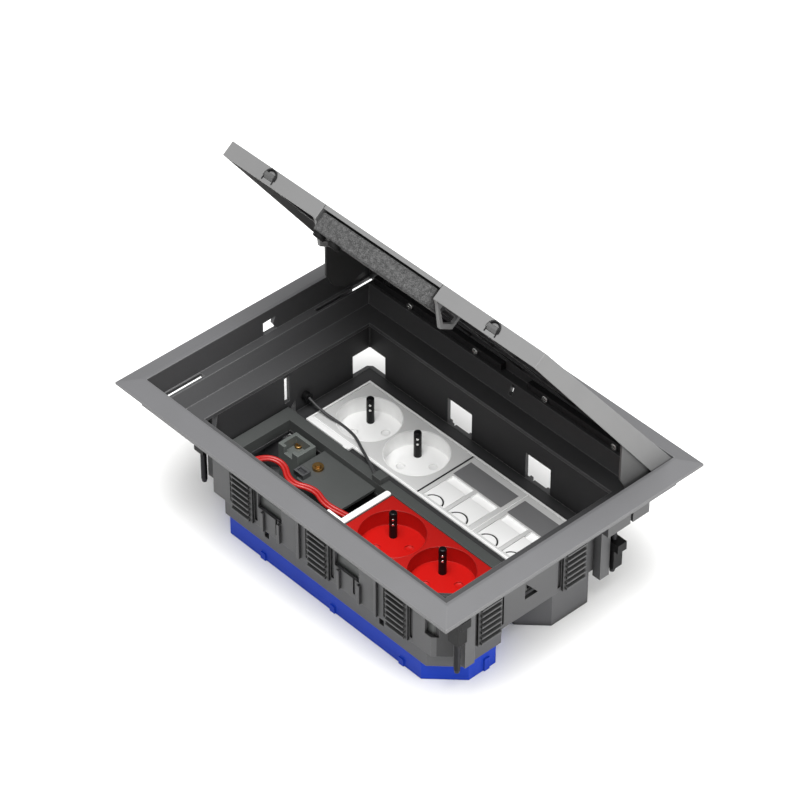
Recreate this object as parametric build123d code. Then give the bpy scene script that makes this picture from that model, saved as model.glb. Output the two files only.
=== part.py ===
from build123d import *
from math import cos, pi, radians, sin, tan
import os

# Raised floor outlet box in millimetres: X along the hinge, +Y towards the hinge, +Z up.
# The origin is the middle of the underside that the box stands on.

# Levels above the underside
floor_level = 99.0
flange_rise = 4.5
flange_edge = 1.5
seat_level = 86.4
ledge_level = 76.0
plate_level = 41.2
panel_foot = 27.0
base_height = 13.0

# Flange, skirt and ledge
flange_length = 276.0
flange_width = 197.0
flange_side = 13.0
flange_front = 12.5
bevel_run = 11.0
skirt_wall = 2.5
ledge_depth = 2.5
seat_width = 6.0
funnel_run = 4.0
gusset_slot = 2.2
open_slot = 3.4
front_slot = (-76.0, -47.0)
slot_front = 40.0
pocket_back = 71.0
pocket_wall = 1.4

# Height-adjusting inner box
inner_length = 202.0
inner_width = 128.0
inner_wall = 2.4
inner_corner = 11.0
inner_back_corner = 2.6
plate_thickness = 2.5
window_width = 20.5
window_height = 19.0
corner_window_height = 16.0
window_sill = 0.4
window_centres = (-23.0, 42.5)
corner_window_reach = 13.6
slit_foot = 52.2
slit_height = 19.0

# Wiring boxes below the two outlet rows
box_fit = 0.3
box_wall = 2.0
box_floor = 2.0
row_pitch = 63.0
row_gap = 10.0
front_corner = 15.0
base_corner = 19.0
back_corner = 15.0

# Outlet modules
module = 45.0
module_fit = 0.1
module_depth = 19.0
module_stand = 1.5
module_corner = 7.0
carrier_fit = 0.2
carrier_rim = 1.4
carrier_thickness = 1.2
riser_height = 7.5
riser_margin = 0.3
well_diameter = 39.5
well_depth = 10.6
well_pitch = 41.0
pin_diameter = 4.8
pin_height = 19.2
pin_offset = 10.0
contact_hole = 5.4
contact_pitch = 19.0
socket_turn = 45.0
red_start = -1.5
bar_gap = 0.5
bar_width = 3.9
bar_height = 0.8

# Data modules
label_length = 40.0
label_width = 14.5
label_margin = 4.7
label_thickness = 1.2
shutter_width = 17.0
shutter_length = 17.0
shutter_thickness = 1.6
shutter_travel = 6.0
shutter_fit = 0.3
port_width = 13.0
port_length = 11.0
port_depth = 13.0

# Lid, modelled closed and then opened about the hinge axis
lid_open_angle = 52.6
lid_gap = 0.5
lid_front_gap = 0.4
pivot_inset = 1.0
barrel_radius = 2.5
lid_skin = 2.5
lid_wall = 2.2
lid_front_depth = 9.5
lid_rear_depth = 13.0
lid_plate_thickness = 1.0
rib_height = 4.5
rib_thickness = 1.6
plate_side_gap = 6.5
plate_front_gap = 31.6
plate_back_gap = 15.0
knuckle_inset = 18.0
knuckle_width = 6.0
knuckle_radius = 2.3
knuckle_gap = 0.4
hinge_relief = 0.4
hinge_pin_radius = 1.2
running_gap = 0.05
hinge_pin_length = 22.0
rail_height = 5.0
rail_depth = 4.0
gusset_thickness = 1.4
gusset_front = 48.0
gusset_foot = 108.5

# Cable flap in the free edge of the lid
flap_half = 46.5
flap_gap = 0.5
flap_depth = 22.0
flap_thickness = 2.6
flap_barrel = 2.4
flap_pin = 1.0
foam_half = 45.0
foam_height = 12.2
foam_depth = 18.0
foot_radius = 3.8
foot_height = 3.0
foot_places = (-41.5, -29.5)
cheek_drop = 20.0

# Lid latches
latch_inset = 36.0
latch_width = 6.5
latch_height = 3.6
latch_length = 9.0
latch_proud = 1.6
latch_fit = 0.25
latch_drop = 5.0

# Ratchet racks and clamping claws
rack_width = 18.0
rack_height = 34.0
rack_base = 1.6
tooth_pitch = 4.2
tooth_depth = 1.6
rack_spacing = 65.5
side_rack_place = 33.0
groove_width = 2.6
groove_rise = 38.0
groove_depth = 1.4
guide_width = 8.0
guide_depth = 6.0
guide_offset = 7.7
claw_width = 7.0
claw_depth = 8.0
claw_height = 20.0
claw_margin = 3.3
back_claw_place = 18.5
claw_feet = {"left_front": 46.0, "left_back": 46.0, "right_front": 46.0, "right_back": 27.5}
claw_screw_radius = 2.0

# Leads
red_lead = 4.6
grey_lead = 1.8
gland_radius = 4.5

# Terminals in the open position
connector_length = 17.0
connector_width = 14.0

flange_top = floor_level + flange_rise
pivot_z = flange_top - barrel_radius
opening_length = flange_length - 2 * flange_side
opening_width = flange_width - 2 * flange_front
half_opening = opening_length / 2
half_width = opening_width / 2
half_inner = inner_length / 2
inner_far = inner_width / 2
pivot_y = half_width - pivot_inset
knuckle_place = half_opening - knuckle_inset
latch_place = half_opening - latch_inset
claw_corner = inner_far - claw_margin
claw_places = {(sx, sy): claw_corner for sx in (-1, 1) for sy in (-1, 1)}
claw_places[(-1, 1)] = back_claw_place
ledge_foot = ledge_level - ledge_depth
outer_length = inner_length + 2 * inner_wall
outer_width = inner_width + 2 * inner_wall
plate_foot = plate_level - plate_thickness
box_half = inner_length / 2 - box_fit
box_far = inner_width / 2 - box_fit
white_level = plate_level + module_stand
riser_level = plate_level + riser_height
red_level = riser_level + module_stand
shelf_level = riser_level - 4.5
connector_top = riser_level - 0.5
back_row = row_pitch / 2
front_row = -row_pitch / 2
row_half = 2 * module
lid_half = half_opening - lid_gap
lid_front = -half_width + lid_front_gap
plate_half = lid_half - plate_side_gap
plate_front = lid_front + plate_front_gap
plate_back = pivot_y - plate_back_gap
flap_pivot_y = lid_front + flap_depth + 1.7
flap_pivot_z = flange_top - flap_barrel


def block(x0, x1, y0, y1, z0, z1):
    centre = ((x0 + x1) / 2, (y0 + y1) / 2, (z0 + z1) / 2)
    return Pos(*centre) * Box(abs(x1 - x0), abs(y1 - y0), abs(z1 - z0))


def slab(length, width, z0, z1):
    return block(-length / 2, length / 2, -width / 2, width / 2, z0, z1)


def outline(x0, x1, y0, y1, corner):
    return [
        (x0 + corner, y0),
        (x1 - corner, y0),
        (x1, y0 + corner),
        (x1, y1 - corner),
        (x1 - corner, y1),
        (x0 + corner, y1),
        (x0, y1 - corner),
        (x0, y0 + corner),
    ]


def prism(points, z0, z1):
    face = make_face(Polyline(*points, close=True))
    return Pos(0, 0, z0) * extrude(face, z1 - z0)


def side_prism(points, x0, x1):
    # Extrudes an outline of (y, z) points along X.
    face = make_face(Polyline(*[(0, y, z) for y, z in points], close=True))
    return Pos(x0, 0, 0) * extrude(face, x1 - x0, dir=(1, 0, 0))


def rod(radius, x0, x1, y, z):
    return Pos((x0 + x1) / 2, y, z) * Rot(0, 90, 0) * Cylinder(radius, abs(x1 - x0))


def mirrored(shape, plane):
    return [shape, mirror(shape, about=plane)]


def turned(shape):
    return [shape, Rot(0, 0, 180) * shape]


def closed_points(points):
    # Turns (y, z) points of the stored open pose back to the closed pose.
    back, up = cos(radians(lid_open_angle)), sin(radians(lid_open_angle))
    turned_back = []
    for y, z in points:
        dy, dz = y - pivot_y, z - pivot_z
        turned_back.append((pivot_y + dy * back - dz * up, pivot_z + dy * up + dz * back))
    return turned_back


def opened(shape):
    # Turns a lid piece from closed to the stored open pose.
    about = Pos(0, pivot_y, pivot_z) * Rot(-lid_open_angle, 0, 0) * Pos(0, -pivot_y, -pivot_z)
    return about * shape


def lead(points, diameter, label):
    # A lead along straight runs joined by tangent arcs.
    radii = []
    for a, b, c in zip(points, points[1:], points[2:]):
        u, v = Vector(*b) - Vector(*a), Vector(*c) - Vector(*b)
        radii.append(0.45 * min(u.length, v.length) / tan(radians(u.get_angle(v)) / 2))
    path = FilletPolyline(*points, radius=radii)
    start = Plane(origin=path @ 0, z_dir=path % 0)
    tube = sweep(start * Circle(diameter / 2), path=path)
    expected = pi * diameter**2 / 4 * path.length
    print(label, "length", round(path.length, 1), "radii", [round(r, 1) for r in radii])
    print(label, "volume ratio", round(tube.volume / expected, 4))
    return tube


def save(name, *shapes):
    solids = [solid for shape in shapes for solid in shape.solids()]
    whole = Compound(children=solids) if len(solids) > 1 else solids[0]
    export_step(whole, f"parts/{name}.step")


# Flange with its bevelled face, the lid seat and the ledge around the inner box
def floor_flange():
    low = Pos(0, 0, floor_level + flange_edge) * Rectangle(flange_length, flange_width)
    top = Pos(0, 0, flange_top) * Rectangle(
        flange_length - 2 * bevel_run, flange_width - 2 * bevel_run
    )
    frame = slab(flange_length, flange_width, floor_level, floor_level + flange_edge)
    frame += loft([low, top])
    wide = 2 * skirt_wall
    frame += slab(
        opening_length + wide, opening_width + wide, seat_level - skirt_wall, floor_level
    )
    frame += funnel(wide, seat_level - skirt_wall, ledge_foot)
    for side in (-1, 1):
        frame += gusset_pocket(side, pocket_wall, seat_level - skirt_wall + 0.5)
    frame -= slab(opening_length, opening_width, seat_level, flange_top + 1)
    frame -= funnel(0, seat_level, ledge_level)
    frame -= slab(inner_length, inner_width, ledge_foot - 1, flange_top + 1)
    for side in (-1, 1):
        edge = side * half_opening
        frame -= gusset_pocket(side, 0, seat_level + 1)
        frame -= gusset_slot_back(side)
        x0, x1 = half_opening - 0.8 - open_slot, half_opening - 0.8
        y0, y1 = -side * front_slot[0], -side * front_slot[1]
        frame -= block(side * x0, side * x1, y0, y1, seat_level - 4, seat_level + 1)
        glint = slot_front + 16
        frame -= block(edge - side * 4, edge, glint, glint + 2.2, ledge_foot - 2, seat_level - 3)
        rise = seat_level + 0.2
        arrow = [(2.0, rise + 8.9), (11.5, rise + 9.4), (9.5, rise + 4.9), (12.3, rise), (2.0, rise)]
        points = [(-side * y, z) for y, z in arrow]
        outer = side * (half_opening + skirt_wall + 1)
        frame -= side_prism(points, min(edge - side, outer), max(edge - side, outer))
        strike = side * latch_place
        reach = latch_width / 2 + 1.2
        frame -= block(
            strike - reach,
            strike + reach,
            -half_width - 1.9,
            -half_width + 1,
            flange_top - latch_drop - 3.4,
            flange_top - latch_drop + 3.0,
        )
    wall = half_width - seat_width - funnel_run
    frame -= block(3.5, 6.1, wall, wall + 5.5, ledge_level + 3, seat_level - 0.8)
    relief = half_width - pivot_inset + barrel_radius + hinge_relief
    foot = pivot_z - barrel_radius - 0.5
    frame -= block(-half_opening, half_opening, half_width - 1, relief, foot, flange_top + 1)
    y0, y1 = lid_front + 5 - foot_radius - 1, -half_width + seat_width + 1
    x0, x1 = foot_places[0] - foot_radius - 1, foot_places[1] + foot_radius + 1
    return frame - block(x0, x1, y0, y1, seat_level - 1.3, seat_level + 0.5)


# Trough below the seat that takes the lid gusset when the lid is closed
def gusset_pocket(side, wall, top):
    middle = half_opening - lid_gap - lid_wall - gusset_thickness / 2
    half = gusset_slot / 2 + wall
    floor = ledge_foot + 0.1 - wall
    return block(
        side * (middle - half), side * (middle + half), slot_front - wall, pocket_back, floor, top
    )


def gusset_slot_back(side):
    inner = half_opening - lid_gap - lid_wall - gusset_thickness / 2 - gusset_slot / 2
    return block(
        side * inner,
        side * (inner + open_slot),
        pocket_back - 1,
        half_width,
        ledge_foot - 1,
        seat_level + 1,
    )


def funnel(wide, high, low):
    mouth = Pos(0, 0, high) * Rectangle(
        opening_length - 2 * seat_width + wide, opening_width - 2 * seat_width + wide
    )
    run = 2 * (seat_width + funnel_run)
    foot = Pos(0, 0, low) * Rectangle(opening_length - run + wide, opening_width - run + wide)
    return loft([foot, mouth])


# Rubber pads on the seat that the closed lid rests on
def seat_pads():
    top = flange_top - lid_front_depth - 0.3
    return [
        block(x - 6, x + 6, -half_width + 0.6, -half_width + 4.2, seat_level, top)
        for x in (-110, -65, 65, 110)
    ]


# Rail along the back wall with the two hinge knuckles
def hinge_rail():
    y0, y1 = half_width - rail_depth, half_width
    top = seat_level + rail_height
    end = half_opening - 8
    rail = block(-end, -8, y0, y1, seat_level, top) + block(14, end, y0, y1, seat_level, top)
    for side in (-1, 1):
        x0, x1 = side * knuckle_place - knuckle_width / 2, side * knuckle_place + knuckle_width / 2
        rail += block(x0, x1, pivot_y - knuckle_radius + 0.3, half_width, top - 0.5, pivot_z)
        rail += rod(knuckle_radius, x0, x1, pivot_y, pivot_z)
        rail -= rod(hinge_pin_radius + running_gap, x0 - 1, x1 + 1, pivot_y, pivot_z)
    return rail


def hinge_pins():
    half = hinge_pin_length / 2
    return [
        rod(hinge_pin_radius, side * knuckle_place - half, side * knuckle_place + half, pivot_y, pivot_z)
        for side in (-1, 1)
    ]


def rail_screws():
    face = half_width - rail_depth
    height = seat_level + rail_height - 2.6
    heads = []
    for x in (-85, -29, 29, 85):
        head = Pos(x, face - 0.7, height) * Rot(90, 0, 0) * Cylinder(2.4, 1.4)
        head -= block(x - 2.2, x + 2.2, face - 1.5, face - 0.9, height - 0.4, height + 0.4)
        heads.append(head)
    return heads


# Outline with one cut at the two front corners and another at the two back corners
def wall_outline(x, y, front, back):
    return [
        (front - x, -y),
        (x - front, -y),
        (x, front - y),
        (x, y - back),
        (x - back, y),
        (back - x, y),
        (-x, y - back),
        (-x, front - y),
    ]


# Height-adjusting inner box with its windows and the outlet plate
def inner_box():
    outside = wall_outline(outer_length / 2, outer_width / 2, inner_corner, inner_back_corner)
    inside = wall_outline(half_inner, inner_far, inner_corner - 1.4, inner_back_corner - 2.0)
    walls = prism(outside, panel_foot, ledge_foot)
    walls -= prism(inside, panel_foot - 1, plate_foot)
    walls -= prism(inside, plate_level, ledge_foot + 1)
    for row, margin in ((back_row, 0.5), (front_row, 0.5)):
        walls -= block(
            -row_half - 1,
            row_half + 1,
            row - module / 2 - margin,
            row + module / 2 + margin,
            plate_foot - 1,
            plate_level + 1,
        )
    sill = plate_level + window_sill
    head = sill + window_height
    wall_in, wall_out = inner_width / 2 - 1, outer_width / 2 + 1
    end_in, end_out = inner_length / 2 - 1, outer_length / 2 + 1
    holes = [
        block(x - window_width / 2, x + window_width / 2, wall_in, wall_out, sill, head)
        for x in window_centres
    ]
    head = sill + corner_window_height
    corner = block(-end_out, corner_window_reach - half_inner, wall_in, wall_out, sill, head)
    corner += block(-end_out, -end_in, inner_far - corner_window_reach, wall_out, sill, head)
    holes.append(corner)
    holes.append(block(-end_out, -end_in, -3.4, 0.4, slit_foot, slit_foot + slit_height))
    low, high = plate_foot - 0.5, plate_foot + 12.0
    holes.append(side_prism([(-5.5, low), (4.8, high), (4.8, low)], -end_out, -end_in))
    for hole in holes:
        for copy in turned(hole):
            walls -= copy
    for groove in rack_grooves():
        walls -= groove
    return walls


# Grooves beside the racks, shaped on the two walls at +Y and +X and turned to the others
def rack_grooves():
    half = groove_width / 2
    offset = rack_width / 2 + half + 0.4
    y1, x1 = outer_width / 2, outer_length / 2
    z0, z1 = panel_foot + 3, panel_foot + groove_rise
    grooves = []
    for centre in (-rack_spacing, 0, rack_spacing):
        for x in (centre - offset, centre + offset):
            grooves.extend(turned(block(x - half, x + half, y1 - groove_depth, y1 + 1, z0, z1)))
    for y in (side_rack_place - offset, offset - side_rack_place):
        grooves.extend(turned(block(x1 - groove_depth, x1 + 1, y - half, y + half, z0, z1)))
    for x, top in ((37.0, 46.0), (-29.0, 50.5)):
        grooves.extend(turned(block(x - 0.8, x + 0.8, y1 - groove_depth, y1 + 1, z0, top)))
    return grooves


# Toothed rack that stands on the face y = 0 and points along +Y
def rack():
    half = rack_width / 2
    shape = block(-half, half, 0, rack_base, panel_foot, panel_foot + rack_height)
    count = int(rack_height / tooth_pitch)
    for n in range(count):
        z = panel_foot + 1.0 + n * tooth_pitch
        tooth = side_prism(
            [
                (rack_base, z),
                (rack_base + tooth_depth, z + 0.6),
                (rack_base + tooth_depth, z + 1.6),
                (rack_base, z + 2.8),
            ],
            -half + 1.5,
            half - 1.5,
        )
        shape += tooth
    return shape


def long_racks():
    places = [Pos(x, outer_width / 2, 0) for x in (-rack_spacing, 0, rack_spacing)]
    shapes = [place * rack() for place in places]
    return shapes + [Rot(0, 0, 180) * shape for shape in shapes]


def side_racks():
    places = [
        Pos(outer_length / 2, y, 0) * Rot(0, 0, -90) for y in (-side_rack_place, side_rack_place)
    ]
    shapes = [place * rack() for place in places]
    return shapes + [Rot(0, 0, 180) * shape for shape in shapes]


def wall_ribs():
    ribs = []
    for share in (-0.475, -0.337, -0.168, 0.168, 0.337, 0.475):
        x = share * half_inner
        rib = block(x - 1, x + 1, outer_width / 2, outer_width / 2 + 1.8, panel_foot, ledge_foot)
        if any(abs(x - centre) < window_width / 2 + 2 for centre in window_centres):
            sill = plate_level + window_sill
            rib -= slab(outer_length, outer_width + 10, sill - 0.5, sill + window_height + 0.5)
        ribs.extend(turned(rib))
    return ribs


# Clamping claws on their guides and screws at the four corners
def claw_guides():
    guides = []
    for sx in (-1, 1):
        for sy in (-1, 1):
            x0 = sx * outer_length / 2
            place = claw_places[(sx, sy)] - guide_offset
            guides.append(
                block(
                    x0,
                    x0 + sx * guide_depth,
                    sy * (place - guide_width / 2),
                    sy * (place + guide_width / 2 - 0.8),
                    panel_foot - 4,
                    ledge_foot,
                )
            )
    return guides


def claw_screws():
    x = outer_length / 2 + 4.2
    length = ledge_foot - panel_foot + 5
    return [
        Pos(sx * x, sy * claw_places[(sx, sy)], ledge_foot - length / 2)
        * Cylinder(claw_screw_radius, length)
        for sx in (-1, 1)
        for sy in (-1, 1)
    ]


def claw(sx, sy, claw_foot):
    x0 = sx * (outer_length / 2 + 0.3)
    x1 = x0 + sx * claw_depth
    place = claw_places[(sx, sy)]
    y0, y1 = place - claw_width / 2, place + claw_width / 2
    claw_top = claw_foot + claw_height
    shape = block(x0, x1, sy * y0, sy * y1, claw_foot, claw_top)
    shape += block(x1, x1 + sx * 3.0, sy * y0, sy * y1, claw_top - 6, claw_top)
    x = sx * (outer_length / 2 + 4.2)
    bore = Cylinder(claw_screw_radius + 0.08, claw_height + 2)
    return shape - Pos(x, sy * place, claw_foot + claw_height / 2) * bore


# Wiring boxes
def wiring_box(y0, y1, z0, corner):
    shell = prism(outline(-box_half, box_half, y0, y1, corner), z0, plate_foot)
    hollow = outline(
        -box_half + box_wall, box_half - box_wall, y0 + box_wall, y1 - box_wall, corner - 0.8
    )
    return shell - prism(hollow, z0 + box_floor, plate_foot + 1)


def front_box():
    shell = wiring_box(-box_far, -row_gap / 2, base_height, front_corner)
    for x in (49.0, -49.0):
        shell -= block(x - 2, x + 2, -box_far - 1, -box_far + box_wall + 1, 18.5, 23.0)
    return shell


def back_box():
    shell = wiring_box(row_gap / 2, box_far, 0, back_corner)
    for x in (-60.0, 60.0):
        shell -= block(x - 3, x + 3, box_far - box_wall - 1, box_far + 1, 8.0, 14.0)
    return shell


def base_cover():
    y0, y1 = -box_far, -row_gap / 2
    tray = prism(outline(-box_half, box_half, y0, y1, base_corner), 0, base_height)
    hollow = outline(-box_half + 2.5, box_half - 2.5, y0 + 2.5, y1 - 2.5, base_corner - 1)
    tray -= prism(hollow, 2.5, base_height + 1)
    for x in (-52, 8, 66):
        tray += block(x - 2, x + 2, y0 - 0.9, y0 + 1, 0, 5)
    for side in (-1, 1):
        x0, x1 = side * (box_half - 1), side * (box_half + 1)
        tray += block(x0, x1, front_row - 2, front_row + 2, 0, 9)
    return tray


# Raised frame that lifts the front row above the back row
def front_riser():
    y0, y1 = riser_margin - inner_far, -1.0
    x1 = half_inner - riser_margin
    cut = inner_corner - 1.4
    points = [(cut - x1, y0), (x1 - cut, y0), (x1, y0 + cut), (x1, y1), (-x1, y1), (-x1, y0 + cut)]
    shape = prism(points, plate_level, riser_level)
    hole = block(
        -row_half - 1.5,
        row_half + 1.5,
        front_row - module / 2 - 0.9,
        front_row + module / 2 + 0.9,
        plate_level - 1,
        riser_level + 1,
    )
    return shape - hole


def carrier(x0, x1, row, z, holes):
    rim = carrier_rim
    shape = block(
        x0 - rim,
        x1 + rim,
        row - module / 2 - rim,
        row + module / 2 + rim,
        z,
        z + carrier_thickness,
    )
    for h0, h1 in holes:
        shape -= block(
            h0 - carrier_fit,
            h1 + carrier_fit,
            row - module / 2 - carrier_fit,
            row + module / 2 + carrier_fit,
            z - 1,
            z + 3,
        )
    return shape


def back_carrier():
    shape = carrier(-row_half, row_half, back_row, plate_level, [(-row_half, row_half)])
    edge = back_row - module / 2 - carrier_rim
    top = plate_level + carrier_thickness
    shape += block(-row_half - carrier_rim, -54, edge - 3, edge + 0.5, plate_level, top)
    return shape + block(-58.5, -55.5, 0.5, edge, plate_level, top)


def red_carrier():
    hole = (red_start, red_start + row_half)
    return carrier(red_start - bar_width, row_half, front_row, riser_level, [hole])


# White bar beside the red socket with its short foot
def red_bar():
    foot, top = riser_level + carrier_thickness, riser_level + carrier_thickness + bar_height
    x1 = red_start - bar_gap
    x0 = x1 - bar_width
    y0, y1 = front_row - module / 2, front_row + module / 2
    bar = fillet(block(x0, x1, y0, y1, foot, top).edges().filter_by(Axis.Z), 1.2)
    return bar + block(x0 - 10.6, x0 + 1, y0 + 4.7, y0 + 9.7, foot, top)


# Module body that narrows at its corners below the outlet plate
def module_body(x0, x1, row, level):
    x0, x1 = x0 + module_fit, x1 - module_fit
    y0, y1 = row - module / 2 + module_fit, row + module / 2 - module_fit
    body = block(x0, x1, y0, y1, plate_foot, level)
    body = chamfer(body.faces().sort_by(Axis.Z)[-1].edges(), 0.6)
    return body + prism(outline(x0, x1, y0, y1, module_corner), level - module_depth, plate_foot)


# Double socket with two round wells and its contact holes
def double_socket(x0, row, level):
    body = module_body(x0, x0 + 2 * module, row, level)
    for x, y in well_centres(x0, row):
        body -= Pos(x, y, level - well_depth / 2 + 0.5) * Cylinder(well_diameter / 2, well_depth + 1)
        for side in (-1, 1):
            reach = side * contact_pitch / 2
            dx, dy = reach * cos(radians(socket_turn)), reach * sin(radians(socket_turn))
            body -= Pos(x + dx, y + dy, level - module_depth) * Cylinder(contact_hole / 2, 20)
    return body


def well_centres(x0, row):
    middle = x0 + module
    return [(middle - well_pitch / 2, row), (middle + well_pitch / 2, row)]


def earth_pins(x0, row, level):
    pins = []
    for x, y in well_centres(x0, row):
        foot = level - well_depth
        dx, dy = -pin_offset * sin(radians(socket_turn)), pin_offset * cos(radians(socket_turn))
        pin = Pos(x + dx, y + dy, foot + pin_height / 2) * Cylinder(pin_diameter / 2, pin_height)
        pins.append(fillet(pin.edges().sort_by(Axis.Z)[-1], 1.6))
    return pins


# Data module with a label field and two sliding port shutters
def data_module(x0):
    level = white_level
    body = module_body(x0, x0 + module, back_row, level)
    body -= block(*label_bounds(x0, label_thickness))
    for sx0, sx1, sy0, sy1 in shutter_places(x0):
        body -= block(
            sx0 - shutter_fit,
            sx1 + shutter_fit,
            sy0 - shutter_fit,
            sy1 + shutter_travel + shutter_fit,
            level - shutter_thickness - shutter_fit,
            level + 1,
        )
        middle = (sx0 + sx1) / 2
        body -= block(
            middle - port_width / 2,
            middle + port_width / 2,
            sy0 + 2.5,
            sy0 + 2.5 + port_length,
            level - port_depth,
            level,
        )
    return body


def label_bounds(x0, depth):
    middle = x0 + module / 2
    top = back_row + module / 2 - label_margin
    half = label_length / 2
    low = top - label_width
    return (middle - half, middle + half, low, top, white_level - depth, white_level + 1)


def label_field(x0):
    x_low, x_high, y_low, y_high, z_low, z_high = label_bounds(x0, label_thickness)
    return block(x_low, x_high, y_low, y_high, z_low, z_high - 1.2)


def shutter_places(x0):
    middle = x0 + module / 2
    y0 = back_row - module / 2 + 1.6
    half = shutter_width / 2
    centres = (middle - half - 1.6, middle + half + 1.6)
    return [(x - half, x + half, y0, y0 + shutter_length) for x in centres]


def shutter(place):
    sx0, sx1, sy0, sy1 = place
    foot = white_level - shutter_thickness
    plate = block(sx0, sx1, sy0, sy1, foot, white_level - 0.1)
    middle = (sx0 + sx1) / 2
    arc = Pos(middle, sy0 - 1.5, white_level) * Cylinder(7.0, 1.6)
    arc -= Pos(middle, sy0 - 1.5, white_level) * Cylinder(5.8, 1.6)
    return plate - arc


# Wiring shelf, connector and terminals in the open position
def wiring_shelf():
    edge = front_row + module / 2 + 0.9
    under = shelf_level - 2.0
    left, right, front = -0.604 * half_inner, -0.168 * half_inner, -0.555 * inner_far
    points = [(left, edge), (left, front + 7), (left + 7, front), (right, front), (right, edge)]
    shelf = prism(points, under, shelf_level)
    return shelf + block(left + 9, right - 2, front, front + 2, base_height + box_floor, under)


def connector():
    floor = base_height + box_floor
    x, y = -0.718 * half_inner, -0.297 * inner_far
    half, deep = connector_length / 2, connector_width / 2
    body = block(x - half, x + half, y - deep, y + deep, floor, connector_top)
    body -= block(
        x - half + 2, x + half - 2, y - deep + 2, y + deep - 2, connector_top - 7, connector_top + 1
    )
    return body - block(x - 3.5, x + 3.5, y - deep - 1, y - 2, connector_top - 5, connector_top + 1)


def terminal_stud():
    stud = Pos(-52, -21, shelf_level + 1.0) * Cylinder(3.4, 2.0)
    return stud + Pos(-52, -21, shelf_level + 2.6) * Cylinder(1.8, 1.6)


def earth_clamp():
    clamp = block(-58, -50, -34.5, -28.5, shelf_level, shelf_level + 3.5)
    return clamp - block(-57, -51, -33, -30, shelf_level + 1.5, shelf_level + 4.5)


def grey_clip():
    return block(-20, -13, -8.0, -1.6, riser_level, riser_level + 4.2)


def lead_glands():
    inner = -inner_width / 2
    glands = []
    for route in (red_route_a, red_route_b):
        x, y, z = raised([route[0]])[0]
        depth = y - inner
        glands.append(Pos(x, inner + depth / 2, z) * Rot(90, 0, 0) * Cylinder(gland_radius, depth))
    side = -inner_length / 2
    x, y, z = raised([grey_route[0]])[0]
    depth = x - side
    glands.append(Pos(side + depth / 2, y, z) * Rot(0, 90, 0) * Cylinder(3.0, depth))
    return glands


# Routes of the leads as shares of the box's half length and half width, and the height in
# millimetres above the raised frame
red_route_a = [
    (-0.733, -0.938, 7.0),
    (-0.729, -0.703, 5.8),
    (-0.619, -0.586, 3.2),
    (-0.490, -0.716, 1.2),
    (-0.356, -0.584, 0.2),
    (-0.243, -0.634, -1.8),
    (-0.124, -0.572, -4.1),
    (-0.014, -0.538, -4.4),
]
red_route_b = [
    (-0.396, -0.938, 5.0),
    (-0.351, -0.789, 3.0),
    (-0.272, -0.727, -1.5),
    (-0.139, -0.688, -4.2),
    (-0.014, -0.656, -4.6),
]
grey_route = [
    (-0.965, 0.197, 1.0),
    (-0.857, 0.198, -2.4),
    (-0.746, 0.230, -4.3),
    (-0.658, 0.233, -4.6),
    (-0.569, 0.209, -4.3),
    (-0.470, 0.130, -2.5),
    (-0.365, 0.048, -0.1),
    (-0.257, -0.038, 2.0),
    (-0.186, -0.092, 2.1),
]


def raised(route):
    return [(x * half_inner, y * inner_far, riser_level + rise) for x, y, rise in route]


# Lid pieces in the closed pose
def lid_shell():
    y1 = pivot_y - 1.0
    depth_slope = (lid_rear_depth - lid_front_depth) / (y1 - lid_front)
    side_points = [
        (lid_front, flange_top),
        (lid_front, flange_top - lid_front_depth),
        (y1 - 4, flange_top - lid_rear_depth + 4 * depth_slope),
        (y1, pivot_z - barrel_radius),
        (y1, flange_top),
    ]
    shell = side_prism(side_points, -lid_half, lid_half)
    shell -= block(
        -lid_half + lid_wall,
        lid_half - lid_wall,
        lid_front + lid_wall,
        y1 + 1,
        flange_top - 20,
        flange_top - lid_skin,
    )
    shell += block(-lid_half, lid_half, y1 - 1, pivot_y, flange_top - lid_skin, flange_top)
    shell += rod(barrel_radius, -lid_half, lid_half, pivot_y, pivot_z)
    notch = flap_half + flap_gap
    back = flap_pivot_y + flap_barrel + 0.4
    low = flange_top - lid_front_depth
    shell += block(-notch - lid_wall, notch + lid_wall, lid_front, back + lid_wall, low, flange_top)
    cheek = [
        (lid_front, flange_top - 1),
        (lid_front, low),
        (lid_front + 4, low - 1.5),
        (lid_front + 19, flange_top - cheek_drop),
        (back + lid_wall, flange_top - cheek_drop + 4),
        (back + lid_wall, flange_top - 1),
    ]
    cheek_window = [
        (lid_front + 8, flange_top - 7),
        (lid_front + 8, low - 2),
        (lid_front + 18.5, flange_top - cheek_drop + 3.2),
        (back, flange_top - cheek_drop + 6.5),
        (back, flange_top - 7),
    ]
    for side in (-1, 1):
        ends = sorted((side * notch, side * (notch + lid_wall)))
        shell += side_prism(cheek, *ends)
        shell -= side_prism(cheek_window, ends[0] - 1, ends[1] + 1)
    shell -= block(-notch, notch, lid_front - 1, back, low - 1, flange_top + 1)
    for side in (-1, 1):
        x = side * (notch + lid_wall / 2)
        shell -= rod(flap_pin + running_gap, x - 2, x + 2, flap_pivot_y, flap_pivot_z)
        shell = cut_hinge(shell, side)
        shell -= latch_recess(side)
    return shell


def cut_hinge(shell, side):
    x0 = side * (knuckle_place - knuckle_width / 2 - knuckle_gap)
    x1 = side * (knuckle_place + knuckle_width / 2 + knuckle_gap)
    reach = pivot_y + barrel_radius + 0.5
    shell -= block(x0, x1, pivot_y - 5.2, reach, flange_top - 16, flange_top + 1)
    reach = hinge_pin_length / 2 + 0.5
    bore = hinge_pin_radius + running_gap
    return shell - rod(
        bore, side * knuckle_place - reach, side * knuckle_place + reach, pivot_y, pivot_z
    )


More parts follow.
